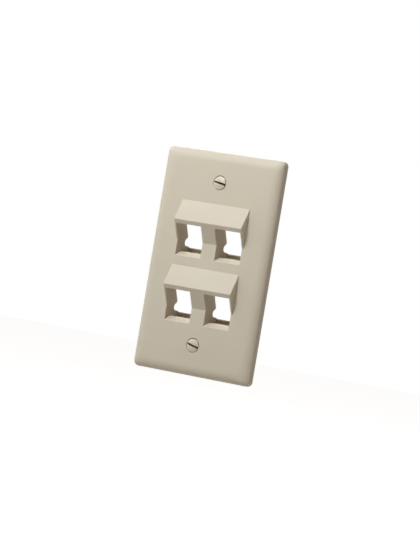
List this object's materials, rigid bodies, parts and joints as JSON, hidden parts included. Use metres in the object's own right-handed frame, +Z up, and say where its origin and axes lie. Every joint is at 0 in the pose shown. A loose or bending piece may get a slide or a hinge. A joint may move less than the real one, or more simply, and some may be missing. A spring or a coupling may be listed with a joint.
{
  "type": "keystone faceplate",
  "caption": "Ivory single-gang wall faceplate with hooded, down-tilted keystone ports and slotted fixing screws.",
  "frame": {"origin": "middle of the plate on the wall plane, between the two screws", "axes": "+X to the right as seen from the room, +Y into the wall, +Z up"},
  "size_m": [0.0698, 0.0248, 0.1142],
  "materials": {
    "ivory_moulding": "fine satin, warm ivory",
    "screw_paint": "painted to match, bare plated steel on the shank"
  },
  "bodies": {
    "root": {"faceplate": "ivory_moulding", "upper_screw": "screw_paint", "lower_screw": "screw_paint"}
  },
  "joints": []
}
